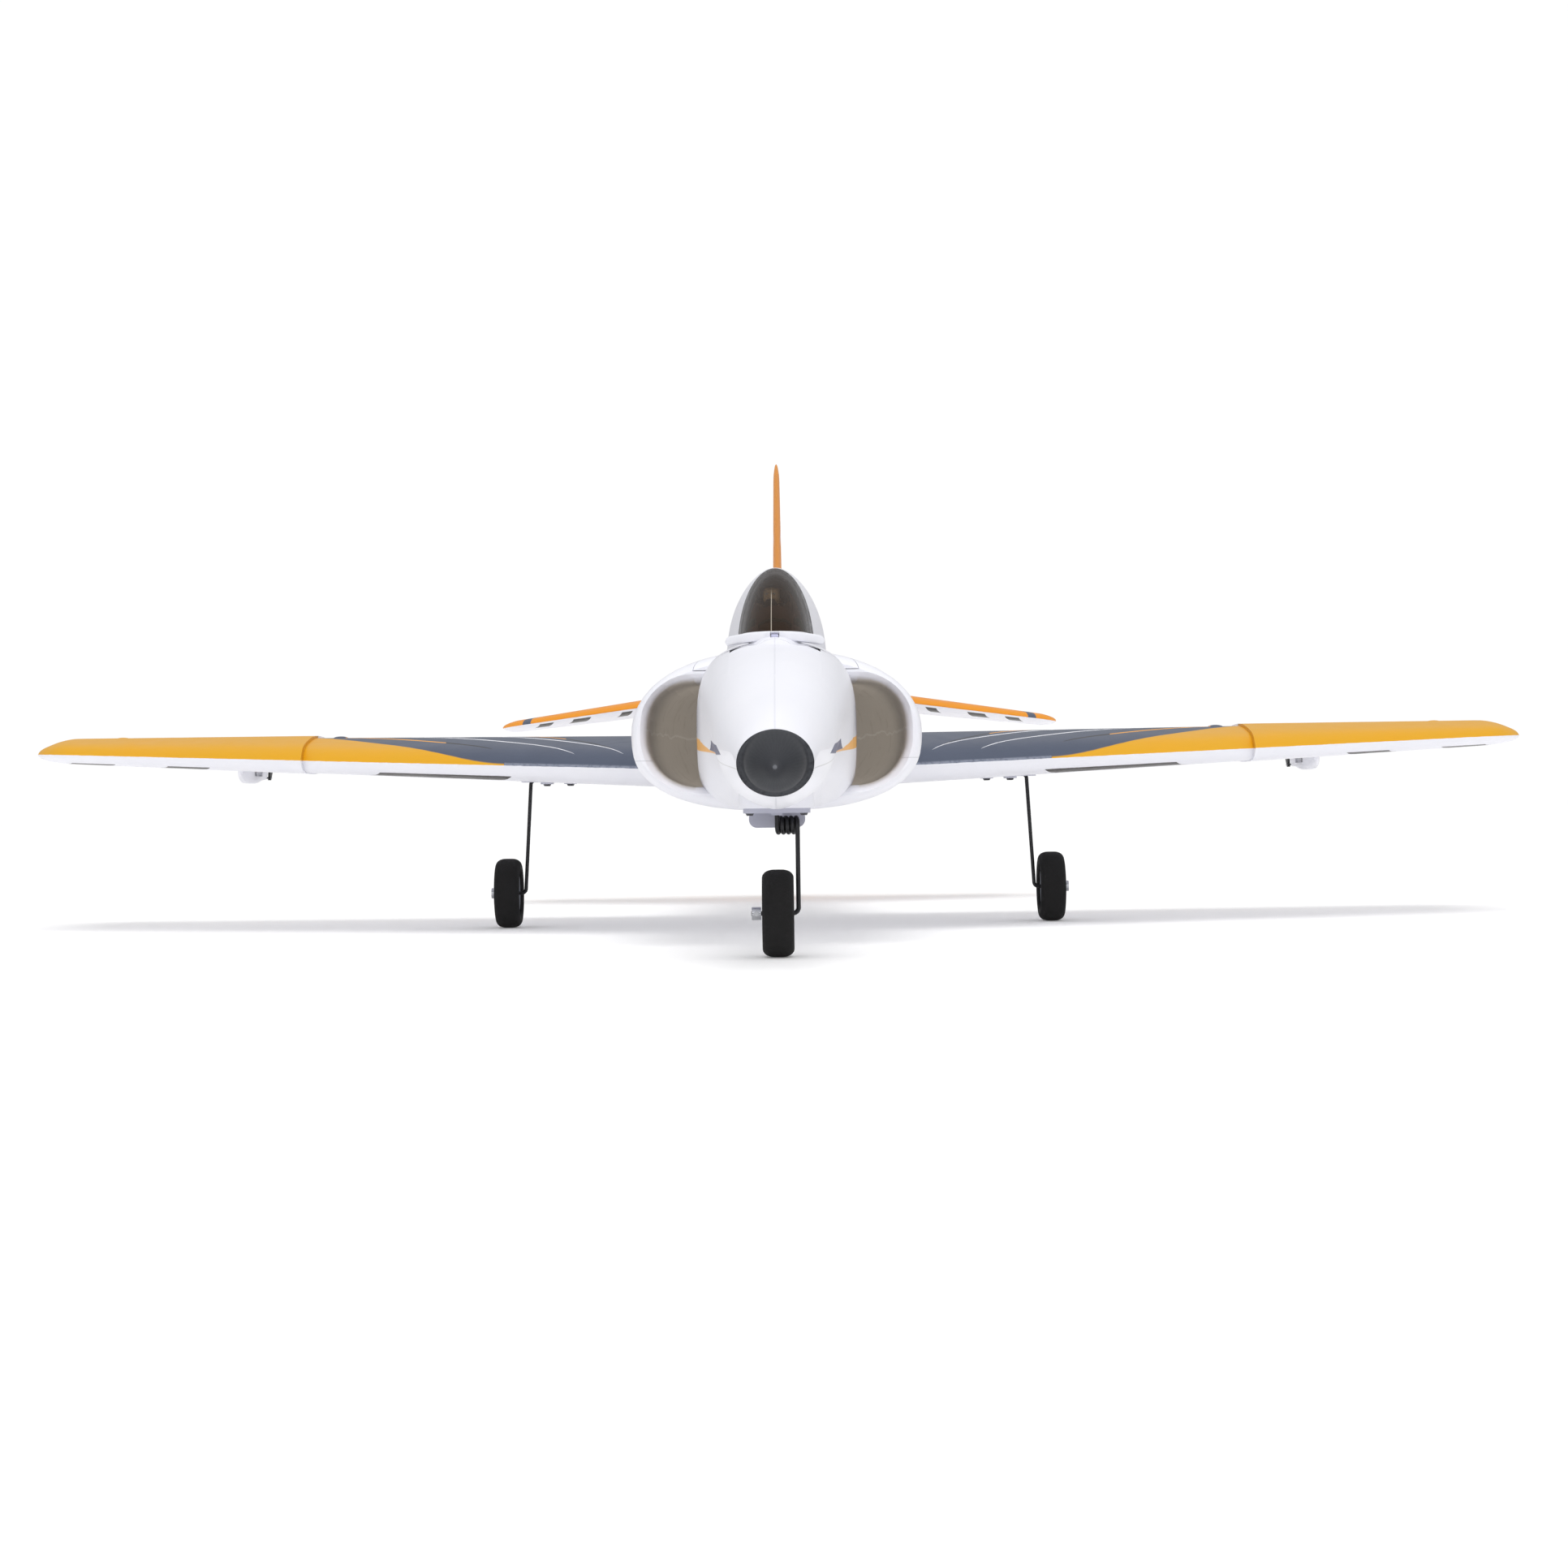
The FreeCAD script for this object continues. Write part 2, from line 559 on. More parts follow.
# ---- linkages ------------------------------------------------------------------------------
class Linkage:
    """Servo, arm, pushrod and horn for one hinge.

    u is the place of the linkage along the hinge line, reach the distance from the hinge axis
    forward to the servo axis, rise the servo axis's height over the hinge axis, away from the horn.
    """

    def __init__(self, hinge, u, reach, length, rise=0.0, case_side=1):
        self.hinge = hinge
        self.foot = hinge.start + (hinge.end - hinge.start) * u
        self.axis, self.forward, self.down = hinge.axis, hinge.forward, hinge.down
        self.length = length
        self.servo_axis = self.foot + self.forward * reach - self.down * rise
        self.case_side = case_side
        self.pin_at_horn = self.foot + self.down * length
        self.pin_at_servo = self.servo_axis + self.down * length

    def matrix(self, shift):
        """Places a shape drawn with X across, Y aft and Z up at the servo axis, shifted sideways."""
        x, y, z = self.axis, self.forward * -1, self.down * -1
        o = self.servo_axis + self.axis * shift
        return FreeCAD.Matrix(x.x, y.x, z.x, o.x, x.y, y.y, z.y, o.y, x.z, y.z, z.z, o.z)

    def slab(self, origin, forward, down, across):
        """A block: each range is measured from origin along one of the three directions."""
        corner = origin + self.forward * forward[0] + self.down * down[0] + self.axis * across[0]
        face = Part.Face(Part.makePolygon([
            corner,
            corner + self.forward * (forward[1] - forward[0]),
            corner + self.forward * (forward[1] - forward[0]) + self.down * (down[1] - down[0]),
            corner + self.down * (down[1] - down[0]),
            corner]))
        return face.extrude(self.axis * (across[1] - across[0]))

    def servo(self, grow=0.0):
        """The servo case lies beside the arm, with its output axis along the hinge direction."""
        side, (case, across, height) = self.case_side, SERVO_SIZE
        top = -3.4 * side
        far = top - height * side
        low, high = sorted((top, far))
        body = self.slab(self.servo_axis, (-case + 6 - grow, 6 + grow), (-across / 2 - grow, across / 2 + grow),
                         (low - grow, high + grow))
        ears = sorted((top - 6.0 * side, top - 8.0 * side))
        flange = self.slab(self.servo_axis, (-case + 1.5 - grow, 10.5 + grow),
                           (-across / 2 - grow, across / 2 + grow),
                           (ears[0] - grow, ears[1] + grow))
        tower = rod(self.servo_axis - self.axis * (3.6 * side), self.servo_axis - self.axis * (1.8 * side),
                    5.5 + grow)
        spline = rod(self.servo_axis - self.axis * (3.6 * side), self.servo_axis + self.axis * (1.2 * side), 1.8)
        return body.fuse([flange, tower, spline])

    def arm(self):
        """A flat arm with a round hub on the servo's output spline."""
        hub = rod(self.servo_axis - self.axis * 1.5, self.servo_axis + self.axis * 1.5, 3.4)
        tip = rod(self.pin_at_servo - self.axis * 0.8, self.pin_at_servo + self.axis * 0.8, 2.2)
        blade = self.slab(self.servo_axis, (-2.0, 2.0), (0, self.length), (-0.8, 0.8))
        hole = rod(self.pin_at_servo - self.axis * 2, self.pin_at_servo + self.axis * 2,
                   ROD_RADIUS + PIN_CLEARANCE)
        spline = rod(self.servo_axis - self.axis * 2, self.servo_axis + self.axis * 2, 1.8 + 0.08)
        return hub.fuse([blade, tip]).cut(hole.fuse(spline))

    def horn(self, root=3.0):
        """A gusseted horn that stands on the surface, with its pushrod hole at the full length."""
        foot = self.foot
        corners = [foot + self.down * root + self.forward * 1.6, foot + self.down * root - self.forward * 11.0,
                   foot + self.down * (self.length + 1.6) - self.forward * 1.6,
                   foot + self.down * (self.length + 1.6) + self.forward * 1.6]
        face = Part.Face(Part.makePolygon([c - self.axis * 0.8 for c in corners + corners[:1]]))
        blade = face.extrude(self.axis * 1.6)
        hole = rod(self.pin_at_horn - self.axis * 2, self.pin_at_horn + self.axis * 2,
                   ROD_RADIUS + PIN_CLEARANCE)
        return blade.cut(hole)

    def pushrod(self, side=1):
        """A wire beside the two blades: each end turns in through a hole, with a keeper behind it."""
        offset = self.axis * (1.9 * side)
        a, b = self.pin_at_horn, self.pin_at_servo
        wire = rod(a + offset, b + offset, ROD_RADIUS)
        ends = []
        for p in (a, b):
            ends.append(rod(p + offset, p - self.axis * (1.6 * side), ROD_RADIUS))
            ends.append(Part.makeSphere(ROD_RADIUS, p + offset))
        mid = (a - b).normalize()
        barrel = rod(b + offset + mid * 6, b + offset + mid * 15, 1.4)
        return wire.fuse(ends + [barrel])


AILERON_LINK = Linkage(aileron_hinge(), 0.245, 58.0, AILERON_HORN)
ELEVATOR_LINK = Linkage(elevator_hinge(), 0.06, 46.0, TAIL_HORN, case_side=-1)
RUDDER_LINK = Linkage(rudder_hinge(), 0.03, 40.0, TAIL_HORN)
STEERING_AXIS = Hinge(Vector(0, y_at(AXLE_STATION_NOSE), 114.0), Vector(0, y_at(AXLE_STATION_NOSE), 121.0),
                      WIRE_RADIUS, WIRE_RADIUS, Vector(-1, 0, 0))
STEERING_LINK = Linkage(STEERING_AXIS, 0.5, -39.0, STEERING_HORN)


def swing_room(link):
    """The slot an arm and its rod need through the skin, and the notch ahead of the horn."""
    arm_slot = link.slab(link.servo_axis, (-10.5, 10.5), (-4.5, link.length + 3), (-2.3, 3.4))
    notch = link.slab(link.foot, (0, 11), (1.5, link.length + 5), (-1.8, 3.4))
    return arm_slot.fuse(notch)


def servo_pocket(link, depth):
    """A pocket the shape of the servo, open through the skin on the arm's side."""
    side, (case, across, height) = link.case_side, SERVO_SIZE
    low, high = sorted((-3.4 * side, -(3.4 + height) * side))
    c = SERVO_CLEARANCE
    hole = link.slab(link.servo_axis, (-case + 6 - c, 6 + c), (-across / 2 - c, depth), (low - c, high + c))
    ears = sorted((-9.4 * side, -11.4 * side))
    slot = link.slab(link.servo_axis, (-case + 1.5 - c, 10.5 + c), (-across / 2 - c, depth),
                     (ears[0] - c, ears[1] + c))
    near, end = sorted((-3.4 * side, 2.0 * side))
    room = link.slab(link.servo_axis, (-5.8, 5.8), (-5.8, depth), (near, end))
    return hole.fuse([slot, room])


# ---- landing gear --------------------------------------------------------------------------
def wire_arc(start, heading, centre, angle, radius=WIRE_RADIUS):
    """A bent piece of round wire: it leaves start along heading and turns about centre."""
    face = Part.Face(Part.Wire(Part.makeCircle(radius, start, heading)))
    return face.revolve(centre, (start - centre).cross(heading), angle)


def bent_wire(points, bend=BEND_RADIUS):
    """A round wire along straight runs, with every corner bent to the same radius."""
    pieces = []
    start = points[0]
    for before, corner, after in zip(points, points[1:], points[2:]):
        a = (before - corner).normalize()
        b = (after - corner).normalize()
        half = a.getAngle(b) / 2
        enter = corner + a * (bend / math.tan(half))
        centre = corner + (a + b).normalize() * (bend / math.sin(half))
        pieces.append(rod(start, enter, WIRE_RADIUS))
        pieces.append(wire_arc(enter, a * -1, centre, 180 - math.degrees(2 * half)))
        start = corner + b * (bend / math.tan(half))
    pieces.append(rod(start, points[-1], WIRE_RADIUS))
    return pieces[0].fuse(pieces[1:])


def make_wheel(x):
    """Returns the tyre and hub of a wheel centred at x, on the axle line of the nose gear."""
    turned = [(RIM_RADIUS, -6.4), (RIM_RADIUS, 6.4), (17.0, 7.9), (19.0, TYRE_WIDTH / 2), (21.4, 7.9),
              (22.9, 5.4), (WHEEL_RADIUS, 2.4), (WHEEL_RADIUS, -2.4), (22.9, -5.4), (21.4, -7.9),
              (19.0, -TYRE_WIDTH / 2), (17.0, -7.9)]
    centre = Vector(x, y_at(AXLE_STATION_NOSE), WHEEL_RADIUS)
    points = [centre + Vector(across, 0, r) for r, across in turned]
    face = Part.Face(Part.makePolygon(points + points[:1]))
    tyre = face.revolve(centre, Vector(1, 0, 0), 360)
    half = 6.3
    hub = rod(centre - Vector(half, 0, 0), centre + Vector(half, 0, 0), RIM_RADIUS - 0.05)
    for side in (-1, 1):
        face_at = centre + Vector(side * 4.3, 0, 0)
        hub = hub.cut(tube(face_at, centre + Vector(side * 9, 0, 0), 13.6, 4.2))
    for i in range(5):
        angle = 2 * math.pi * i / 5
        at = centre + Vector(0, math.cos(angle) * 9, math.sin(angle) * 9)
        hub = hub.cut(rod(at - Vector(9, 0, 0), at + Vector(9, 0, 0), 2.6))
    hub = hub.cut(rod(centre - Vector(9, 0, 0), centre + Vector(9, 0, 0), WIRE_RADIUS + 0.08))
    return tyre, hub


def make_collar(inner, outer, station):
    """A set collar on an axle, with its grub screw facing forward."""
    a, b = Vector(inner, y_at(station), WHEEL_RADIUS), Vector(outer, y_at(station), WHEEL_RADIUS)
    middle = (a + b) * 0.5
    collar = rod(a, b, 3.6)
    screw = rod(middle - Vector(0, 3.2, 0), middle - Vector(0, 4.1, 0), 1.4)
    return collar.fuse(screw).cut(rod(a, b, WIRE_RADIUS))


def make_nose_leg():
    """Straight down the steering axis, four coil turns to one side, then down and across as the axle.

    Each half turn of the coil is a flat half circle that steps half a pitch sideways.
    """
    y = y_at(AXLE_STATION_NOSE)
    coil_x = COIL_TURNS * COIL_PITCH
    pieces = [rod(Vector(0, y, 124.0), Vector(0, y, COIL_Z), WIRE_RADIUS)]
    for i in range(2 * COIL_TURNS):
        at_back = i % 2
        start = Vector(i * COIL_PITCH / 2, y + 2 * COIL_RADIUS * at_back, COIL_Z)
        end = Vector((i + 1) * COIL_PITCH / 2, y + 2 * COIL_RADIUS * (1 - at_back), COIL_Z)
        heading = Vector(0, 0, 1 if at_back else -1)
        pieces.append(wire_arc(start, heading, (start + end) * 0.5, 180))
    pieces.append(bent_wire([Vector(coil_x, y, COIL_Z), Vector(coil_x, y, WHEEL_RADIUS),
                             Vector(-14.5, y, WHEEL_RADIUS)], bend=3.0))
    return pieces[0].fuse(pieces[1:])


MOUNT_Z = 98.9            # underside of the main gear mounting plates
RUN_Z = MOUNT_Z + 1.35    # the leg's run along the wing, in the plate's groove


def make_main_leg():
    y = y_at(AXLE_STATION_MAIN)
    ankle = MAIN_WHEEL_X - 11.5
    return bent_wire([Vector(136, y, 107.0), Vector(136, y, RUN_Z), Vector(MAIN_LEG_TOP_X, y, RUN_Z),
                      Vector(ankle, y, WHEEL_RADIUS), Vector(MAIN_WHEEL_X + 12.0, y, WHEEL_RADIUS)], bend=3.0)


def make_main_mount():
    """A plate let into the underside of the wing, grooved for the leg, with two straps across it."""
    s = AXLE_STATION_MAIN
    plate = rounded_box(128, 175, s - 10, s + 10, MOUNT_Z, 108.5, 3, Vector(0, 0, 1))
    tongue = box(119.5, 129, s - 6, s + 6, MOUNT_Z, 101.2)
    groove = box(134.65, 180, s - 1.35, s + 1.35, 95, RUN_Z + 1.35)
    well = box(134.65, 137.35, s - 1.35, s + 1.35, 95, 107.1)
    corner = box(134.65, 139.5, s - 1.35, s + 1.35, 95, RUN_Z + 3.2)
    straps = [rounded_box(x0, x1, s - 9, s + 9, MOUNT_Z - 1.4, MOUNT_Z, 2.5, Vector(0, 0, 1))
              for x0, x1 in ((138, 146), (154, 162))]
    plate = plate.fuse(tongue).cut(groove.fuse([well, corner]))
    return plate.fuse(straps)


def make_screw(x, station, z, down=-1):
    head = Part.makeCone(2.3, 1.6, 1.3, Vector(x, y_at(station), z), Vector(0, 0, down))
    shank = Part.makeCylinder(0.8, 6.5, Vector(x, y_at(station), z), Vector(0, 0, -down))
    slots = [Part.makeBox(a, b, 0.7, Vector(x - a / 2, y_at(station) - b / 2, z + (0.7 if down > 0 else -1.4)))
             for a, b in ((2.2, 0.5), (0.5, 2.2))]
    return head.cut(slots[0].fuse(slots[1])).fuse(shank)


BLOCK_SCREWS = [(x, s) for x in (-14.5, 14.5) for s in (168.5, 211.5)]
MOUNT_SCREWS = [(x, AXLE_STATION_MAIN + d) for x in (142, 158) for d in (-5.5, 5.5)]


def make_nose_block():
    """Flange under the nose, a block behind the coil, and a tall bearing for the steering wire."""
    flange = rounded_box(-18, 18, 165, 215, PAD_Z - 2.6, PAD_Z, 4, Vector(0, 0, 1))
    block = rounded_box(-15.3, 15.3, 195, 208.5, 69.4, PAD_Z - 1, 4.5, Vector(0, 1, 0))
    tower = rounded_box(-8.5, 8.5, 171.5, 188.5, PAD_Z - 1, 112.0, 3, Vector(0, 0, 1))
    tab = box(-3, 3, 171.5, 178.2, 76.2, PAD_Z)
    y = y_at(AXLE_STATION_NOSE)
    bore = rod(Vector(0, y, 60), Vector(0, y, 120), WIRE_RADIUS + 0.08)
    holes = [Part.makeCylinder(0.8, 10, Vector(x, y_at(s), PAD_Z - 5)) for x, s in BLOCK_SCREWS]
    return flange.fuse([block, tower, tab]).cut(bore).cut(group(holes))


def make_steering_arm():
    """The arm clamped on top of the steering wire, above the bearing."""
    link = STEERING_LINK
    hub = rod(link.foot - link.axis * 4.5, link.foot + link.axis * 4.5, 4.0)
    tip = rod(link.pin_at_horn - link.axis * 0.8, link.pin_at_horn + link.axis * 0.8, 2.2)
    blade = link.slab(link.foot, (-2.2, 2.2), (0, link.length), (-0.8, 0.8))
    hole = rod(link.pin_at_horn - link.axis * 2, link.pin_at_horn + link.axis * 2, ROD_RADIUS + PIN_CLEARANCE)
    wire = rod(link.foot - link.axis * 6, link.foot + link.axis * 6, WIRE_RADIUS)
    return hub.fuse([blade, tip]).cut(hole.fuse(wire))


# ---- fan -----------------------------------------------------------------------------------
BLADES = 12
STATORS = 5
HUB_RADIUS = 15.0


def blade_section(radius, pitch, chord, thickness, middle):
    """A flat four-cornered blade section square to the radius, on top of the fan axis."""
    along_chord = Vector(math.sin(math.radians(pitch)), math.cos(math.radians(pitch)), 0)
    normal = Vector(along_chord.y, -along_chord.x, 0)
    centre = axis_point(middle, 0, FAN_AXIS_Z + radius)
    corners = [centre + along_chord * (a * chord / 2) + normal * (b * thickness / 2)
               for a, b in ((-1, -0.35), (0.1, -1), (1, -0.3), (1, 0.3), (0.1, 1), (-1, 0.35))]
    return Part.makePolygon(corners + corners[:1])


def fan_blades(count, root, tip, twist, chord, thickness, middle):
    sections = [blade_section(root + (tip - root) * f, twist[0] + (twist[1] - twist[0]) * f,
                              chord, thickness, middle)
                for f in (0, 0.5, 1)]
    one = Part.makeLoft(sections, True, True)
    centre = axis_point(middle)
    blades = []
    for i in range(count):
        turned = one.copy()
        turned.rotate(centre, Vector(0, 1, 0), 360.0 * i / count)
        blades.append(turned)
    return blades


def make_rotor():
    front = FAN_STATION
    hub = rod(axis_point(front), axis_point(front + 15), HUB_RADIUS)
    profile = [Vector(0, y_at(front - 17), FAN_AXIS_Z), Vector(0, y_at(front - 15.5), FAN_AXIS_Z + 4.6),
               Vector(0, y_at(front - 9), FAN_AXIS_Z + 10.8), Vector(0, y_at(front), FAN_AXIS_Z + HUB_RADIUS)]
    curve = Part.BSplineCurve()
    curve.interpolate(profile)
    close = [Part.makeLine(profile[-1], axis_point(front)), Part.makeLine(axis_point(front), profile[0])]
    spinner = Part.Face(Part.Wire([curve.toShape()] + close)).revolve(axis_point(front), Vector(0, 1, 0), 360)
    blades = fan_blades(BLADES, HUB_RADIUS - 1.5, FAN_BORE_RADIUS + 2, (46, 62), 12.5, 2.0, front + 7.5)
    limit = rod(axis_point(front - 20), axis_point(front + 16), FAN_BORE_RADIUS - 0.45)
    bore = rod(axis_point(front + 4), axis_point(front + 16), 2.58)
    return hub.fuse([spinner] + blades).common(limit).cut(bore)


def make_shroud():
    outer = SHROUD_RADIUS - SKIN_GAP
    ring = tube(axis_point(SHROUD_FRONT), axis_point(SHROUD_REAR - SKIN_GAP), outer, FAN_BORE_RADIUS)
    middle = FAN_STATION + 33
    vanes = fan_blades(STATORS, 15.0, FAN_BORE_RADIUS + 1, (-16, -12), 22, 2.6, middle)
    sleeve = tube(axis_point(middle - 12), axis_point(middle + 12), 16.6, 14.2)
    limit = rod(axis_point(SHROUD_FRONT), axis_point(SHROUD_REAR - SKIN_GAP), outer)
    bore = rod(axis_point(SHROUD_FRONT), axis_point(SHROUD_REAR), 14.2)
    return ring.fuse([sleeve] + vanes).common(limit).cut(bore)


def make_motor():
    front = FAN_STATION + 16.5
    can = rod(axis_point(front), axis_point(front + 34), 14.15)
    shaft = rod(axis_point(front - 11.5), axis_point(front), 2.5)
    cone = Part.makeCone(14.15, 3.0, 42, axis_point(front + 34), Vector(0, 1, 0))
    return can.fuse([shaft, cone])


def make_thrust_tube():
    front, straight = SHROUD_REAR + SKIN_GAP, EXHAUST_STATION - 14
    outer_front = SHROUD_RADIUS - SKIN_GAP
    outer = thrust_bore(outer_front, EXHAUST_RADIUS, front, straight)
    inner = thrust_bore(outer_front - 0.8, EXHAUST_RADIUS - 0.8, front, straight)
    ring = tube(axis_point(straight), axis_point(EXHAUST_STATION), EXHAUST_RADIUS, EXHAUST_RADIUS - 0.8)
    return outer.cut(inner).fuse(ring)


# ---- canopy --------------------------------------------------------------------------------
def hatch_space(gap=0.0):
    side = side_prism(HATCH_OUTLINE)
    outline = [(-x, s) for x, s in HATCH_PLAN] + [(x, s) for x, s in reversed(HATCH_PLAN)]
    space = side.common(plan_prism(outline, 140, 260))
    return space.makeOffsetShape(gap, 0.01, join=2) if gap else space


def make_hatch(outer):
    """Returns the foam hatch and the glass in it."""
    space = hatch_space(-GAP)
    window = side_prism(GLASS_OUTLINE)
    blank = biggest(outer.common(space))
    hollow = [(s, w - 5.5, b, m, t - 5.5, lo, up) for s, w, b, m, t, lo, up in FORWARD_BODY[2:8]]
    cavity = body_loft(hollow).common(box(-24, 24, 216, HATCH_REAR - 8, 140, 260))
    inside = spine_loft(HATCH_WALL).common(box(-40, 40, 224, HATCH_REAR - 8, 140, 260))
    glass = spine_loft(0.0).cut(spine_loft(GLASS_WALL)).common(window)
    foam = blank.cut(window).cut(cavity.fuse(inside))
    return biggest(foam), biggest(glass)


def make_cockpit():
    """A shelf under the glass with side consoles, an instrument hood and a seat back."""
    space = spine_loft(HATCH_WALL + 0.3).common(box(-40, 40, 226, 403, 172.5, 250))
    floor = space.common(box(-40, 40, 226, 403, 172.5, 175.5))
    consoles = space.common(box(-40, 40, 226, 403, 172.5, 183)).cut(box(-9.5, 9.5, 200, 410, 175.5, 190))
    hood = rod(Vector(0, y_at(300), 183), Vector(0, y_at(326), 183), 14).common(
        box(-11, 11, 290, 330, 175, 199))
    seat = rounded_box(-8.5, 8.5, 379, 385, 175.5, 206, 3, Vector(0, 1, 0))
    return floor.fuse([consoles, hood.common(spine_loft(2.5)), seat])


HEAD_STATION = 364.0
HEAD_Z = 206.4


def make_pilot():
    """A bust: chest and shoulders, neck, head in a helmet, visor edge and oxygen mask."""
    chest = body_loft([(HEAD_STATION - 9, 7, 178, 184, 190, 2.2, 2.2),
                       (HEAD_STATION - 4, 11, 176.5, 186, 194, 2.4, 2.4),
                       (HEAD_STATION + 3, 13, 176.2, 187, 196, 2.6, 2.6),
                       (HEAD_STATION + 10, 11, 176.5, 187, 195, 2.4, 2.4)])
    neck = Part.makeCylinder(4.2, 12, Vector(0, y_at(HEAD_STATION + 2), 192))
    head = Part.makeSphere(7.4, Vector(0, y_at(HEAD_STATION), HEAD_Z - 0.6))
    helmet = Part.makeSphere(8.8, Vector(0, y_at(HEAD_STATION + 1.6), HEAD_Z + 0.8))
    mask = rod(Vector(0, y_at(HEAD_STATION - 9.2), HEAD_Z - 4.6), Vector(0, y_at(HEAD_STATION), HEAD_Z - 3.2), 3.0)
    return chest.fuse([neck, head, helmet, mask])


# ---- build ---------------------------------------------------------------------------------
def make_nose_cone():
    sections = [(0.0, 0.9, 97.9, 98.8, 99.7, 2, 2), (1.6, 2.6, 96.2, 98.9, 101.5, 2, 2),
                (5.0, 5.0, 94.2, 99.3, 104.2, 2, 2), (13.0, 9.4, 91.4, 100.2, 108.6, 2, 2),
                (27.0, 14.6, 88.2, 101.4, 114.4, 2, 2),
                 (NOSE_CONE_LENGTH - SKIN_GAP, 19.25, 85.9, 102.5, 119.2, 2, 2)]
    return body_loft(sections)


def make_spar():
    def point(x, station):
        return Vector(x, y_at(station), wing_mid_z(x, station) - 1.0)
    return point(90, 540), point(300, 606)


# distance aft of the servo axis, half width, bottom, height of the widest line, top, powers
FAIRING = [(-22, 1.4, -13.5, -9, -3, 2, 2), (-15, 4.3, -17.2, -9, -2, 2.6, 2), (-8, 5.5, -18.8, -9, -2, 3.5, 2),
           (14, 5.5, -18.8, -9, -2, 3.5, 2), (34, 5.0, -17.0, -8, -2, 3.5, 2)]


def wing_blocks(wing, link):
    """The wing as its foam blocks, so that none reaches across the pushrod or the aileron."""
    inner, outer = AILERON_INNER_X - END_GAP, AILERON_OUTER_X + END_GAP
    blocks = in_blocks(wing, [box(0, DOGTOOTH_X, 300, 900, 50, 200), box(DOGTOOTH_X, inner, 300, 900, 50, 200),
                              box(outer, 600, 300, 900, 50, 200)])
    middle = wing.common(box(inner, outer, 300, 900, 50, 200))
    widths = [-100, -5.7, -2.6, 3.6, 6.7, 200]
    cells = [link.slab(link.servo_axis, (-200, 300), (-60, 60), pair) for pair in zip(widths, widths[1:])]
    slot = cells.pop(2)
    ahead = link.slab(link.servo_axis, (10.5, 300), (-60, 60), (-100, 200))
    return group(blocks + in_blocks(middle, cells + [slot.common(ahead), slot.cut(ahead)]))


def wing_pieces(outer):
    """Returns the fixed wing and the aileron of the +X side."""
    link = AILERON_LINK
    blank = biggest(make_wing_blank().cut(outer))
    blank.translate(Vector(SKIN_GAP, 0, 0))
    wing, aileron = split_surface(blank, link.hinge)
    fairing = Part.makeLoft([body_section(*s) for s in FAIRING], True)
    fairing.transformShape(link.matrix(0.5))
    hollow = link.slab(link.servo_axis, (-60, 10.5), (0, link.length + 2.4), (-2.6, 3.6))
    wing = wing.fuse(fairing).cut(servo_pocket(link, 14)).cut(hollow).cut(swing_room(link))
    start, end = make_spar()
    leg_room = box(119, 180, AXLE_STATION_MAIN - 10.4, AXLE_STATION_MAIN + 10.4, 90, 109)
    wing = wing.cut(rod(start, end, 3.1)).cut(leg_room)
    aileron = aileron.cut(link.horn())
    return wing_blocks(biggest(wing), link), biggest(aileron)


def tail_pieces(outer):
    """Returns the fixed tailplane and the elevator of the +X side."""
    link = ELEVATOR_LINK
    blank = biggest(make_stab_blank().cut(outer))
    blank.translate(Vector(SKIN_GAP, 0, SKIN_GAP))
    stab, elevator = split_surface(blank, link.hinge)
    stab = stab.cut(servo_pocket(link, 14)).cut(swing_room(link))
    return biggest(stab), biggest(elevator.cut(link.horn()))


def fin_pieces(outer):
    link = RUDDER_LINK
    blank = biggest(make_fin_blank().cut(outer))
    blank.translate(Vector(0, 0, SKIN_GAP))
    fin, rudder = split_surface(blank, link.hinge)
    s = link.servo_axis.y + LENGTH / 2
    bay = box(-20, 20, s - 12, s + 23, 150, link.servo_axis.z + 4.5)
    fin = biggest(fin.cut(bay).cut(swing_room(link)))
    return fin, biggest(rudder.cut(link.horn(root=1.0)))


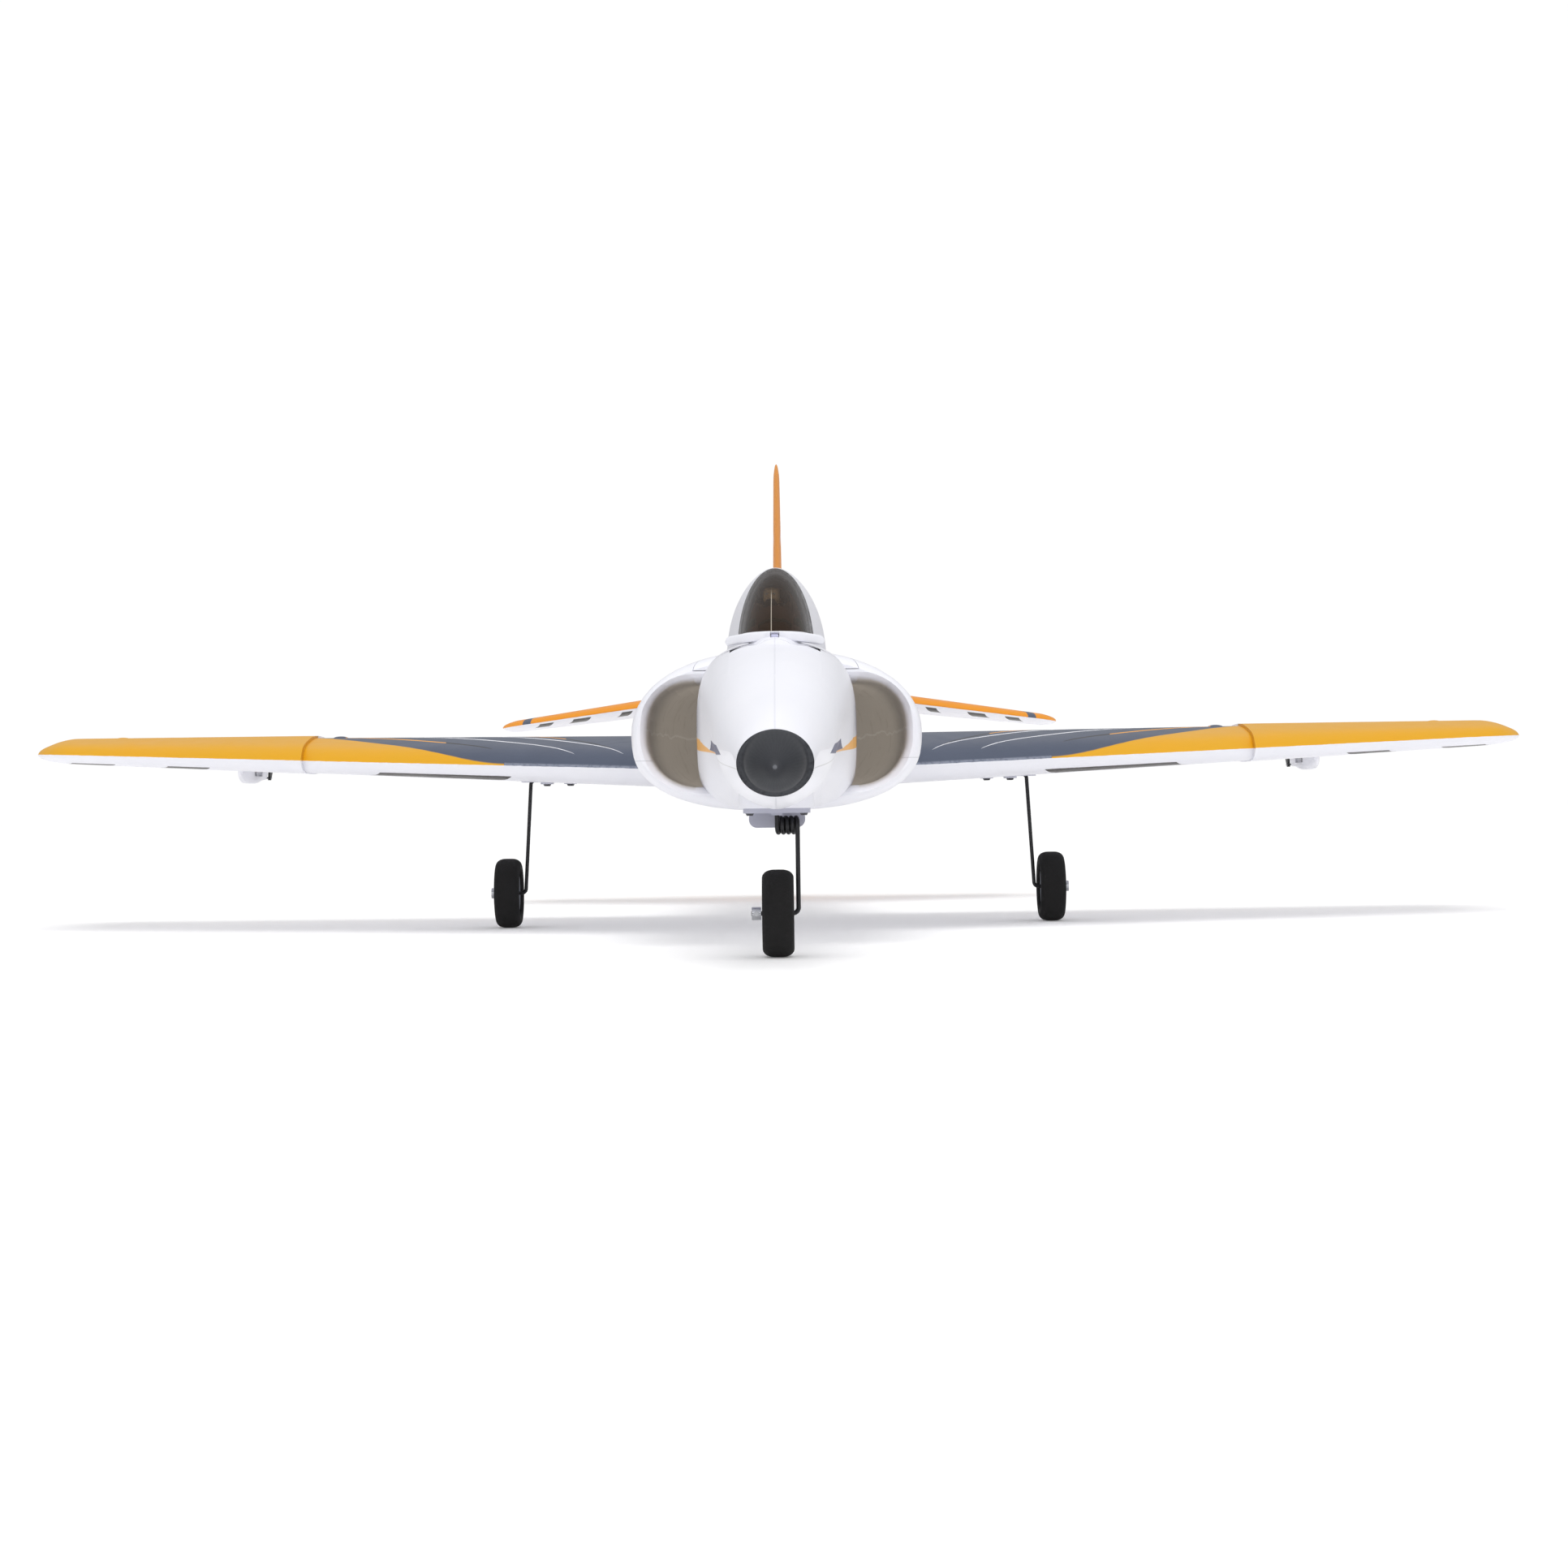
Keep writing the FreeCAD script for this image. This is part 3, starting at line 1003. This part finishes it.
def main():
    nodes = {}
    outer = make_outer_fuselage()

    # wings, tail and fin with their hinged surfaces
    nodes["wing_left"], nodes["aileron_left"] = wing_pieces(outer)
    nodes["stab_left"], nodes["elevator_left"] = tail_pieces(outer)
    nodes["fin"], nodes["rudder"] = fin_pieces(outer)

    # linkages
    for name, link in (("aileron", AILERON_LINK), ("elevator", ELEVATOR_LINK)):
        nodes[name + "_horn_left"] = link.horn()
        nodes[name + "_arm_left"] = link.arm()
        nodes[name + "_rod_left"] = link.pushrod()
    nodes["rudder_horn"] = RUDDER_LINK.horn(root=1.0)
    nodes["rudder_arm"] = RUDDER_LINK.arm()
    nodes["rudder_rod"] = RUDDER_LINK.pushrod()
    nodes["steering_arm"] = make_steering_arm()
    nodes["steering_servo_arm"] = STEERING_LINK.arm()
    nodes["steering_rod"] = STEERING_LINK.pushrod()
    sides = [AILERON_LINK.servo(), ELEVATOR_LINK.servo()]
    nodes["servos"] = group(sides + [mirrored(s) for s in sides] + [RUDDER_LINK.servo(), STEERING_LINK.servo()])
    pins = [AILERON_LINK.hinge.pin(PIN_ANCHOR), ELEVATOR_LINK.hinge.pin(PIN_ANCHOR)]
    nodes["hinge_wires"] = group(pins + [mirrored(p) for p in pins] + [RUDDER_LINK.hinge.pin(PIN_ANCHOR)])
    start, end = make_spar()
    spar = tube(start, end, 3.0, 2.2)
    nodes["wing_spars"] = group([spar, mirrored(spar)])

    # landing gear
    nodes["nose_gear_leg"] = make_nose_leg()
    nodes["nose_gear_block"] = make_nose_block()
    nodes["nose_wheel_collar"] = make_collar(-14.2, -9.2, AXLE_STATION_NOSE)
    nodes["nose_tyre"], nodes["nose_hub"] = make_wheel(0)
    leg = make_main_leg()
    nodes["main_gear_legs"] = group([leg, mirrored(leg)])
    mount = make_main_mount()
    nodes["main_gear_mounts"] = group([mount, mirrored(mount)])
    collar = make_collar(MAIN_WHEEL_X + 6.8, MAIN_WHEEL_X + 11.8, AXLE_STATION_MAIN)
    nodes["main_wheel_collars"] = group([collar, mirrored(collar)])
    for piece, shape in zip(("main_tyre_left", "main_hub_left"), make_wheel(MAIN_WHEEL_X)):
        shape.translate(Vector(0, AXLE_STATION_MAIN - AXLE_STATION_NOSE, 0))
        nodes[piece] = shape
    screws = [make_screw(x, s, PAD_Z - 2.6) for x, s in BLOCK_SCREWS]
    mains = [make_screw(x, s, MOUNT_Z - 1.4) for x, s in MOUNT_SCREWS]
    nodes["gear_screws"] = group(screws + mains + [mirrored(m) for m in mains])
    for x, s in MOUNT_SCREWS:
        hole = Part.makeCylinder(0.8, 12, Vector(x, y_at(s), MOUNT_Z - 4))
        nodes["main_gear_mounts"] = nodes["main_gear_mounts"].cut(group([hole, mirrored(hole)]))

    # fan and exhaust
    nodes["fan_rotor"] = make_rotor()
    nodes["fan_shroud"] = make_shroud()
    nodes["fan_motor"] = make_motor()
    nodes["thrust_tube"] = make_thrust_tube()

    # equipment
    nodes["battery_pack"] = rounded_box(-21, 21, 244, 374, BAY_FLOOR + SKIN_GAP, 137.0, 3, Vector(0, 1, 0))
    case = rounded_box(-22, 22, 379, 416, BAY_FLOOR + SKIN_GAP, 116.0, 1.5, Vector(0, 1, 0))
    fins = [box(x - 0.9, x + 0.9, 381, 414, 115.5, 121.0) for x in range(-18, 19, 4)]
    nodes["speed_controller"] = case.fuse(fins)
    nodes["receiver"] = rounded_box(12.5, BAY_HALF_WIDTH - SKIN_GAP, 192, 234, 104.0, 127.0, 1.5, Vector(0, 1, 0))

    # canopy
    hatch, glass = make_hatch(outer)
    cockpit, pilot = make_cockpit(), make_pilot()
    slot = box(-2.35, 2.35, HATCH_FRONT + 2.0, HATCH_FRONT + 14.5, 166.0, 180)
    nodes["hatch_latch"] = rounded_box(-2.05, 2.05, HATCH_FRONT + 2.3, HATCH_FRONT + 8.0, 169.6, 175.0, 1.2,
                                       Vector(0, 0, 1))
    nodes["canopy_hatch"] = biggest(hatch.cut(slot))
    nodes["canopy_glass"] = glass
    nodes["cockpit_tub"] = cockpit.cut(pilot)
    nodes["pilot"] = pilot

    # fuselage
    nodes["nose_cone"] = make_nose_cone()
    servo_bays = servo_pocket(RUDDER_LINK, 7)
    block_room = box(-8.8, 8.8, 171.2, 188.8, PAD_Z - 2, WELL_FLOOR + 2)
    screw_holes = [Part.makeCylinder(0.8, 12, Vector(x, y_at(s), PAD_Z - 4)) for x, s in BLOCK_SCREWS]
    flat_foot = box(-20.5, 20.5, 160, 222, 60, PAD_Z)
    body = outer.cut([make_equipment_bay(), make_fan_cuts(), hatch_space(), servo_bays, block_room, flat_foot]
                     + screw_holes + [RUDDER_LINK.hinge.pin(PIN_ANCHOR + 2, PIN_RADIUS + 0.05)])
    body = biggest(body)
    half = Part.makeBox(200, LENGTH, 400, Vector(0, -LENGTH / 2, 0))
    nodes["fuselage_left"] = fuselage_blocks(biggest(body.common(half)))

    # the other side
    for name in ("fuselage", "wing", "aileron", "stab", "elevator", "aileron_horn", "aileron_arm", "aileron_rod",
                 "elevator_horn", "elevator_arm", "elevator_rod", "main_tyre", "main_hub"):
        nodes[name + "_right"] = mirrored(nodes[name + "_left"])

    os.makedirs("parts", exist_ok=True)
    for name, shape in nodes.items():
        shape.exportStep("parts/" + name + ".step")


main()
